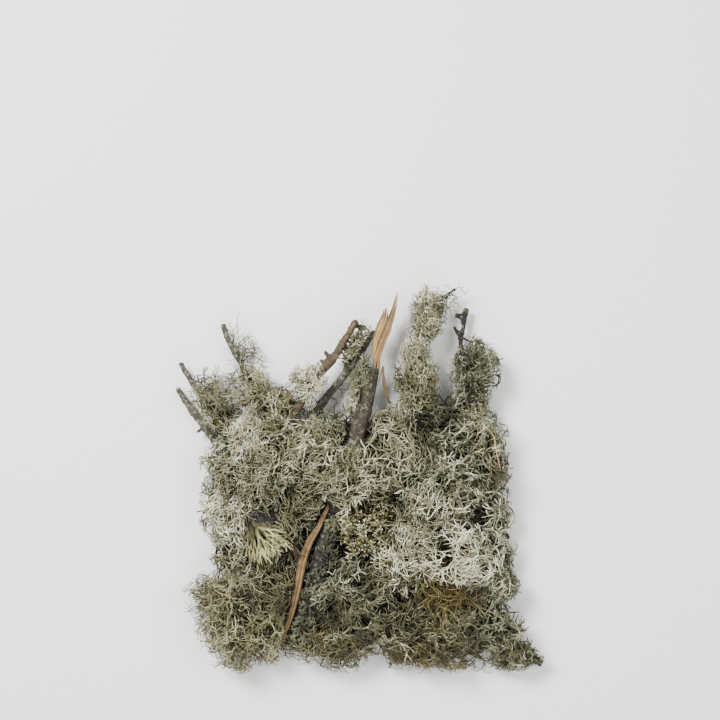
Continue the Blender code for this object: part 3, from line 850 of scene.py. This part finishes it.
# How the thalli of a tuft are spread.
fillShare = 0.8  # the share of its box that a tuft covers
sideAim = 0.25  # the weight of a side face among its aims, where a top face has 1 more
aimDepth = 0.94  # a strap aims at this share of the way to the skin
oldHeight = 0.45  # the share of its height that old growth aims at
oldStep = 1.4  # its steps are so much longer
# dark tones of old growth: partly dead thalli, partly painted shade between the tufts
deadAndShadedTones = (0.06, 0.30)
toneSpread = 0.16
warmSpread = 0.08
layerSpread = (-0.6, 1.0)  # how deep a thallus stays: below 0 it reaches the skin
rootSpread = 1.2  # how widely roots scatter round a place that is given
seekSpread = 2.0  # and round one that is sought on the bark
airHeight = 0.25  # where a thallus starts when no bark is near: this high in its tuft
airShare = 0.7  # and this share of the way out of its middle

# What shows from above, from this y upwards: no strap of another tuft lies over it.
bareTufts = {"leafy_lichen": -200, "strap_fan_left": -200, "beard_ochre": -200}
bareTops = {
    "stem_top": 30, "brown_limb": 52, "grey_limb": 60, "left_limb_low": 24, "left_limb_high": 58,
    "left_limb_back": 76, "right_limb_fork": 92, "peeled_splinter": -200, "peeled_fibre": -200,
    "torn_wood_tip": -200,
}


def canopyRoom(forms, place):
    # how far out of the growth a place is, where the tuft's own form and its neighbours' merge
    found = [signedRoom(form, place) for form in forms]
    _, normal, room = min(found, key=lambda one: one[2])
    apart = found[-1][2] - found[0][2]
    fill = max(0.0, canopyBlend - abs(apart)) ** 2 / (4 * canopyBlend) if len(found) > 1 else 0.0
    return normal, room - fill


def extendRim(bm, rim):
    # the strap's open end, its left, lower and right point, goes one step further
    edges = [bm.edges.get(pair) for pair in zip(rim, rim[1:] + rim[:1])]
    fresh = bmesh.ops.extrude_edge_only(bm, edges=edges)["geom"]
    points = [part for part in fresh if isinstance(part, bmesh.types.BMVert)]
    return [min(points, key=lambda point: (point.co - old.co).length) for old in rim]


def growThallus(root, aim, habit, forms, rng, tone, warm, slack, clear=None):
    # one thallus: a strap that runs from its root towards the aim and forks again and again
    bm = newGrowth()
    marks = [bm.verts.layers.float[name] for name in growthMarks]
    heading = (aim - root).normalized()
    tilt = Vector((rng.gauss(0, rootTilt), rng.gauss(0, rootTilt), 1))
    across = heading.cross(tilt).normalized()
    runs = (max(leastRootRun, (aim - root).length * habit["rootRun"]), *habit["runs"])
    wholeLength = sum(runs)

    def setRim(rim, place, across, rise, width, age, depth):
        for vert, side in zip(rim, (-1, 0, 1)):
            keel = 1 - abs(side)
            vert.co = place + across * side * width / 2 - rise * keel * width * habit["keel"]
            # painted light and shade: darker deep inside the canopy and along the keel, lighter
            # towards the tips
            shade = tone + ageShade * (age - 0.5) - paintedDepthShade * depth - paintedKeelShade * keel
            shade += patchShade * noise.noise(place / patchSize)
            vert.co.z = max(vert.co.z, leastRoom)
            for mark, value in zip(marks, (age, min(1, max(0, shade)), warm)):
                vert[mark] = value

    rim = [bm.verts.new() for _ in range(3)]
    bm.faces.new(rim)
    setRim(rim, root, across, heading.cross(across), habit["width"], 0.0, 1.0)
    shoots = [(rim, root, heading, across, 0, habit["width"], 0.0, 0.0)]
    while shoots:
        rim, place, heading, across, level, width, length, back = shoots.pop()
        steps = max(2, round(runs[level] * rng.uniform(*runSpread) / habit["step"]))
        last = level == len(runs) - 1
        leash = slack + (tipRoom if last else 0)
        bend = math.radians(rng.gauss(0, habit["curl"]) + back / steps)
        lift = math.radians(rng.gauss(0, habit["curl"] * liftShare))
        twist = math.radians(rng.gauss(0, habit["twist"]))
        covered = False
        for step in range(1, steps + 1):
            wander = math.radians(rng.gauss(0, stepWander))
            turn = Matrix.Rotation(bend + wander, 3, heading.cross(across))
            turn = Matrix.Rotation(lift, 3, across) @ turn
            heading = (turn @ heading).normalized()
            place = place + heading * habit["step"]
            normal, room = canopyRoom(forms, place)
            if room > leash:
                place = place - normal * min(mostPull, pullBack * (room - leash))
            outward = heading.dot(normal)
            if room > leash - skinDepth and outward > 0:
                heading = (heading - normal * outward * habit["hug"]).normalized()
            wood = signedRoom(woodTree, place, woodReach)
            if wood and wood[2] < barkRoom and (level or step > rootSteps):
                place = wood[0] + wood[1] * barkRoom
                heading = (heading + wood[1] * barkLift).normalized()
            limits = zip(place, growthLow, growthHigh)
            kept = Vector(min(max(p, low), high) for p, low, high in limits)
            if kept != place:
                # what reaches the floor or the sides of the tangle turns along them
                heading = (heading + (kept - place) * boxTurn).normalized()
                place = kept
            wanted = normal if normal.z > mostOverhang else -normal
            across = across - wanted * across.dot(wanted) * habit["faceOut"]
            across = Matrix.Rotation(twist, 3, heading) @ across
            across = (across - heading * across.dot(heading)).normalized()
            age = min(1.0, (length + step * habit["step"]) / wholeLength)
            # painted shade: the deeper a place lies inside the canopy, the darker its tone
            depth = min(1.0, max(0.0, -room - lightDepth) / darkDepth)
            covered = clear is not None and clear.ray_cast(place, -up, coverReach)[0] is not None
            if covered and not level:
                # a root run that would cross what shows from above isn't grown
                bm.clear()
                return bm
            if last or covered:
                wide = width + (habit["tip"] - width) * (step / steps) ** tipPower
            elif step == steps:
                wide = width * forkWiden
            else:
                wide = width
            rim = extendRim(bm, rim)
            setRim(rim, place, across, heading.cross(across), wide, age, depth)
            if covered:
                break
        length += steps * habit["step"]
        if last or covered or (level > 1 and rng.random() < earlyEnd):
            bm.faces.new(rim)
            continue
        rise = heading.cross(across)
        left, lower, right = rim
        _, crotch = bmesh.utils.edge_split(bm.edges.get((right, left)), right, 0.5)
        bm.edges.new((lower, crotch))
        stronger = rng.choice((-1, 1))
        for side, half in ((-1, [left, lower, crotch]), (1, [crotch, lower, right])):
            turning, widening = strongSide if side == stronger else weakSide
            angle = habit["spread"] * turning * rng.uniform(*forkSpread)
            turn = Matrix.Rotation(math.radians(side * angle), 3, rise)
            narrower = habit["taper"] * widening
            shoots.append(
                (half, (half[0].co + half[2].co) / 2, turn @ heading, turn @ across, level + 1,
                 width * narrower, length, -side * angle * habit["lyre"])
            )
    bmesh.ops.recalc_face_normals(bm, faces=bm.faces)
    return bm


def newGrowth():
    bm = bmesh.new()
    for name in growthMarks:
        bm.verts.layers.float.new(name)
    return bm


def growTuft(nodeName, tuft, material, seed):
    # thalli that start on the bark and fill the tuft's form up to its skin
    rng = random.Random(seed)
    habit = habits[tuft["habit"]]
    form, points, faces = treeOf([nodeName])
    forms = [form, treeOf([other for other in tufts if other != nodeName])[0]]
    clear = bareTree if nodeName in bareTufts else bareTreeWithTufts
    if tuft["overBark"]:
        clear = None
    low, high = (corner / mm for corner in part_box(nodeName))
    size = high - low
    centre = (low + high) / 2
    areas = []
    for face in faces:
        a, b, c = (points[i] for i in face)
        flat = (b - a).cross(c - a)
        areas.append(flat.length * (sideAim + max(0.0, flat.normalized().z)))
    covers = size.x * size.y * fillShare
    count = max(5, round(covers * habit["perArea"] * tuft["fill"]))
    oldHabit = habit | {"runs": habit["runs"][:2], "step": habit["step"] * oldStep}
    bm = newGrowth()
    for i, face in enumerate(rng.choices(faces, weights=areas, k=count)):
        a, b, c = (points[i] for i in face)
        u, v = sorted((rng.random(), rng.random()))
        aim = centre.lerp(a * u + b * (v - u) + c * (1 - v), aimDepth)
        aim += Vector((rng.gauss(0, aimSpread), rng.gauss(0, aimSpread), 0))
        old = i < count * habit["oldShare"]
        if old:
            # dead growth lies low and reaches between the tufts; its dark tone is partly real,
            # partly painted shade in the gaps
            aim.z = low.z + (aim.z - low.z) * oldHeight
        if "root" in tuft:
            root = low + Vector(s * p for s, p in zip(size, tuft["root"]))
            root += Vector(rng.gauss(0, rootSpread) for _ in range(3))
        else:
            seek = centre.lerp(aim, habit["rootFollow"])
            seek += Vector(rng.gauss(0, seekSpread) for _ in range(3))
            spot, normal, _, distance = barkTree.find_nearest(seek)
            if distance < farFromBark:
                root = spot - normal * rootSunk
            else:
                foot = Vector((seek.x, seek.y, low.z + size.z * airHeight))
                root = centre.lerp(foot, airShare)
        if (aim - root).length < tuft["leastReach"]:
            continue
        warm = min(1.0, max(0.0, tuft["warm"] + rng.gauss(0, warmSpread)))
        if old:
            tone = rng.uniform(*deadAndShadedTones)
            slack = habit["slack"]
        else:
            # some thalli reach the skin and the rest stay below it, in their shade
            tone = tuft["tone"] + rng.gauss(0, toneSpread)
            slack = habit["slack"] - habit["layers"] * max(0.0, rng.uniform(*layerSpread))
        kind = oldHabit if old else habit
        addTo(bm, growThallus(root, aim, kind, forms, rng, tone, warm, slack, clear))
    addGranules(bm, tuft["granules"], rng)
    finishPiece(nodeName + "_thalli", bm, material, nodeName)


granules = {"onAge": 0.45, "radius": (0.3, 0.6), "tones": (0.85, 1.0)}


def addGranules(bm, count, rng):
    # pale grains of powder sit on the younger lobes
    age, tone, _ = (bm.verts.layers.float[name] for name in growthMarks)
    spots = [vert.co.copy() for vert in bm.verts if vert[age] > granules["onAge"]]
    for spot in rng.sample(spots, count):
        radius = rng.uniform(*granules["radius"])
        grain = bmesh.ops.create_icosphere(
            bm, subdivisions=1, radius=radius, matrix=Matrix.Translation(spot)
        )
        for vert in grain["verts"]:
            vert[age] = 1.0
            vert[tone] = rng.uniform(*granules["tones"])


# Growth between the tufts: the stretch it stands along, how far and which way it reaches, and how
# many thalli there are. The pieces named shade are dark thalli that paint shade into the gaps.
usualLoose = {"habit": "thread", "lean": (0.0, 0.0, 0.1), "warm": 0.0}
looseGrowth = {
    "left_back_threads": {"from": (-82, 96, 8), "to": (-74, 82, 8), "reach": 12,
                          "lean": (0.9, 0.0, 0.1), "count": 14, "tone": 0.18, "warm": 0.2},
    "left_back_wisps": {"from": (-74, 80, 8), "to": (-66, 64, 8), "reach": 10,
                        "lean": (0.2, -0.4, 0.3), "count": 16, "tone": 0.5, "warm": 0.1},
    "left_high_threads": {"from": (-106, 72, 8), "to": (-92, 50, 8), "reach": 15,
                          "lean": (0.8, 0.6, 0.2), "count": 18, "tone": 0.3, "warm": 0.2},
    "butt_threads": {"from": (-100, -70, 6), "to": (-88, -68, 7), "reach": 15,
                     "lean": (-0.6, 0.7, 0.2), "count": 12, "tone": 0.2, "warm": 0.2},
    "right_top_threads": {"from": (58, 128, 13), "to": (38, 104, 13), "reach": 6,
                          "lean": (0.1, 0.1, 0.2), "count": 20, "tone": 0.6, "warm": 0.1},
    "brush_neck": {"habit": "brush", "from": (42, 113, 20), "to": (39, 97, 20), "reach": 7,
                   "lean": (0.0, 0.0, 0.2), "count": 30, "tone": 0.6, "warm": 0.1},
    "fork_threads": {"from": (66, 92, 8), "to": (69, 62, 8), "reach": 10, "lean": (0.0, 0.0, 0.3),
                     "count": 26, "tone": 0.4},
    "grey_limb_threads": {"from": (-28, 50, 9), "to": (-8, 78, 9), "reach": 6,
                          "lean": (0.0, 0.0, 0.3), "count": 24, "tone": 0.4},
    "stem_fuzz": {"from": (0, 56, 19), "to": (4, 80, 19), "reach": 6, "lean": (-0.8, 0.1, 0.2),
                  "count": 40, "tone": 0.55},
    "crown_shade": {"habit": "antler", "from": (36, 46, 9), "to": (58, 36, 8), "reach": 15,
                    "lean": (0.0, 0.0, 0.15), "count": 46, "tone": 0.36},
    "fork_shade": {"habit": "antler", "from": (30, 56, 8), "to": (70, 56, 7), "reach": 12,
                   "lean": (0.0, -0.2, 0.1), "count": 26, "tone": 0.25},
    "stem_shade": {"habit": "antler", "from": (-44, -30, 10), "to": (-24, -20, 10), "reach": 13,
                   "count": 30, "tone": 0.15},
    "butt_shade": {"habit": "beard", "from": (-34, -90, 7), "to": (-12, -62, 8), "reach": 13,
                   "lean": (0.3, 0.0, 0.1), "count": 30, "tone": 0.2, "warm": 0.1},
    "butt_fringe": {"habit": "beard", "from": (-52, -88, 6), "to": (-32, -96, 6), "reach": 10,
                    "lean": (0.1, -0.3, 0.2), "count": 24, "tone": 0.42, "warm": 0.1},
    "star_shade": {"habit": "antler", "from": (-16, -36, 6), "to": (12, -42, 6), "reach": 11,
                   "count": 22, "tone": 0.15},
    "ochre_shade": {"habit": "antler", "from": (18, -52, 6), "to": (42, -56, 6), "reach": 11,
                    "count": 20, "tone": 0.2, "warm": 0.1},
    "limb_cover": {"habit": "antler", "from": (-48, 40, 19), "to": (-42, -34, 19), "reach": 10,
                   "lean": (0.0, 0.0, 0.4), "count": 36, "tone": 0.42, "warm": 0.05},
    "foot_shade": {"habit": "beard", "from": (4, -94, 6), "to": (76, -100, 5), "reach": 12,
                   "lean": (0.0, -0.1, 0.15), "count": 36, "tone": 0.25, "warm": 0.3},
    "right_top_fringe": {"habit": "antler", "from": (77, 48, 8), "to": (89, 33, 8), "reach": 9,
                         "lean": (0.0, 0.8, 0.4), "count": 22, "tone": 0.58},
    "splinter_shade": {"habit": "antler", "from": (-40, -38, 6), "to": (-44, -68, 6), "reach": 9,
                       "count": 22, "tone": 0.2},
    "left_shade": {"habit": "beard", "from": (-84, 30, 8), "to": (-60, 46, 8), "reach": 13,
                   "lean": (0.0, 0.0, 0.15), "count": 34, "tone": 0.25, "warm": 0.1},
    "middle_shade": {"habit": "antler", "from": (-30, 34, 8), "to": (10, 44, 8), "reach": 12,
                     "count": 26, "tone": 0.25},
    "stem_crusts": {"habit": "shield", "from": (-38, -88, 20), "to": (-14, -10, 25), "reach": 5,
                    "lean": (0.3, 0.0, 0.4), "count": 22, "tone": 0.3},
    "butt_lobes": {"habit": "curled", "from": (-36, -84, 9), "to": (-26, -92, 9), "reach": 9,
                   "lean": (0.2, -0.3, 0.7), "count": 5, "tone": 0.16, "warm": 0.5},
}


looseForks = 3  # how many of its habit's runs it has
looseFoot = 1.5  # how high a root without bark starts
looseLean = (0.6, 0.3)  # sideways and upwards
looseAim = (0.6, 1.0)  # the share of its reach
looseLeast = 2.0
looseTones = (0.05, 0.08)  # the darkest, and the spread


def growLoose(name, growth, material, seed):
    # thalli near the bark start on it, and the others on the ground
    rng = random.Random(seed)
    habit = habits[growth["habit"]]
    habit = habit | {"runs": habit["runs"][:looseForks]}
    reach, lean, rise = growth["reach"], *looseLean
    bm = newGrowth()
    for _ in range(growth["count"]):
        seek = Vector(growth["from"]).lerp(Vector(growth["to"]), rng.random()) + tangle
        spot, normal, _, distance = barkTree.find_nearest(seek)
        root = spot - normal * rootSunk if distance < reach else Vector((seek.x, seek.y, looseFoot))
        sideways = Vector((rng.gauss(0, lean), rng.gauss(0, lean), abs(rng.gauss(0, rise))))
        sideways = (sideways + Vector(growth["lean"])).normalized()
        aim = seek + sideways * reach * rng.uniform(*looseAim)
        if (aim - root).length < looseLeast:
            continue
        darkest, spread = looseTones
        tone = max(darkest, growth["tone"] + rng.gauss(0, spread))
        warm = growth["warm"]
        addTo(bm, growThallus(root, aim, habit, [barkTree], rng, tone, warm, reach, bareTree))
    finishPiece(name, bm, material)


# Dry bits caught in the tangle: points seen from above, laid on top of what is under them.
stalks = {
    "dry_stalk_right": {"route": [(75.2, 45.5), (79.6, 41.1), (83.2, 36.8), (84.6, 26.6),
                                  (86.1, 20.2), (87.1, 15.8)], "width": 0.7, "shade": 1.15},
    "dry_stalk_low": {"route": [(-10.3, -81.6), (-5, -90.9), (-0.4, -97), (5, -103)], "width": 0.9,
                      "shade": 0.5},
    "bark_shred": {"route": [(-90, -64.5), (-86, -63.5), (-82, -62.8), (-78, -61)], "width": 1.4,
                   "shade": 0.1},
    "dark_stub": {"route": [(-101, -71.5), (-98, -69), (-94.5, -66)], "width": 4.2, "shade": -0.8},
    "brown_bud": {"route": [(-90, -39.5), (-89.6, -43), (-89.2, -47)], "width": 2.2, "shade": -0.1},
}
stalkRoom = 0.8  # how far a stalk lies above what holds it
stalkTaper = 0.5  # how much thinner its end is
highAbove = 100


def layStalk(name, stalk, material, surface, seed):
    # a stalk drops on the surface from above
    rng = random.Random(seed)
    bm = bmesh.new()
    bm.verts.layers.float.new("grain")
    route = []
    for x, y in stalk["route"]:
        place = Vector((x, y, highAbove)) + tangle
        spot = surface.ray_cast(place, -up)[0]
        route.append(Vector((place.x, place.y, (spot.z if spot else floorRoom) + stalkRoom)))
    for _ in route:  # a stiff stalk bridges the hollows
        for before, here, after in zip(route, route[1:], route[2:]):
            here.z = max(here.z, (before.z + after.z) / 2)
    widths = [stalk["width"] * (1 - stalkTaper * i / len(route)) for i in range(len(route))]
    growFibre(bm, route, widths, stalk["width"], stalk["shade"], rng)
    finishPiece(name, bm, material)


setStage()
print("stage set")

barkMaterials = {name: makeBark(name) for name in barkFinishes}
lichenMaterials = {name: makeLichen(name) for name in lichenFinishes}
bareWood = makeBareWood()
barkTree, _, _ = treeOf(barkSlots)
woodTree, _, _ = treeOf([*barkSlots, *woodStrips])
bareTree = treeOfTops(bareTops)
bareTreeWithTufts = treeOfTops(bareTops | bareTufts)
print("materials made")

for seed, (nodeName, slotName) in enumerate(barkSlots.items()):
    growBark(nodeName, barkMaterials[slotName], seed)
print("bark grown")

for seed, nodeName in enumerate(woodStrips):
    growWood(nodeName, bareWood, seed)
print("bare wood split")

for seed, (nodeName, own) in enumerate(tufts.items()):
    tuft = usualTuft | own
    growTuft(nodeName, tuft, lichenMaterials[tuft["slot"]], seed)
print("lichens grown")

for seed, (name, own) in enumerate(looseGrowth.items()):
    growLoose(name, usualLoose | own, lichenMaterials["beard_lichen"], seed)
tuftTree, _, _ = treeOf(tufts)
for seed, (name, stalk) in enumerate(stalks.items()):
    layStalk(name, stalk, bareWood, tuftTree, seed)
print("loose growth and stalks laid")

total = sum(len(piece.data.polygons) for piece in bpy.data.objects if piece.type == "MESH")
print("faces in all:", total)
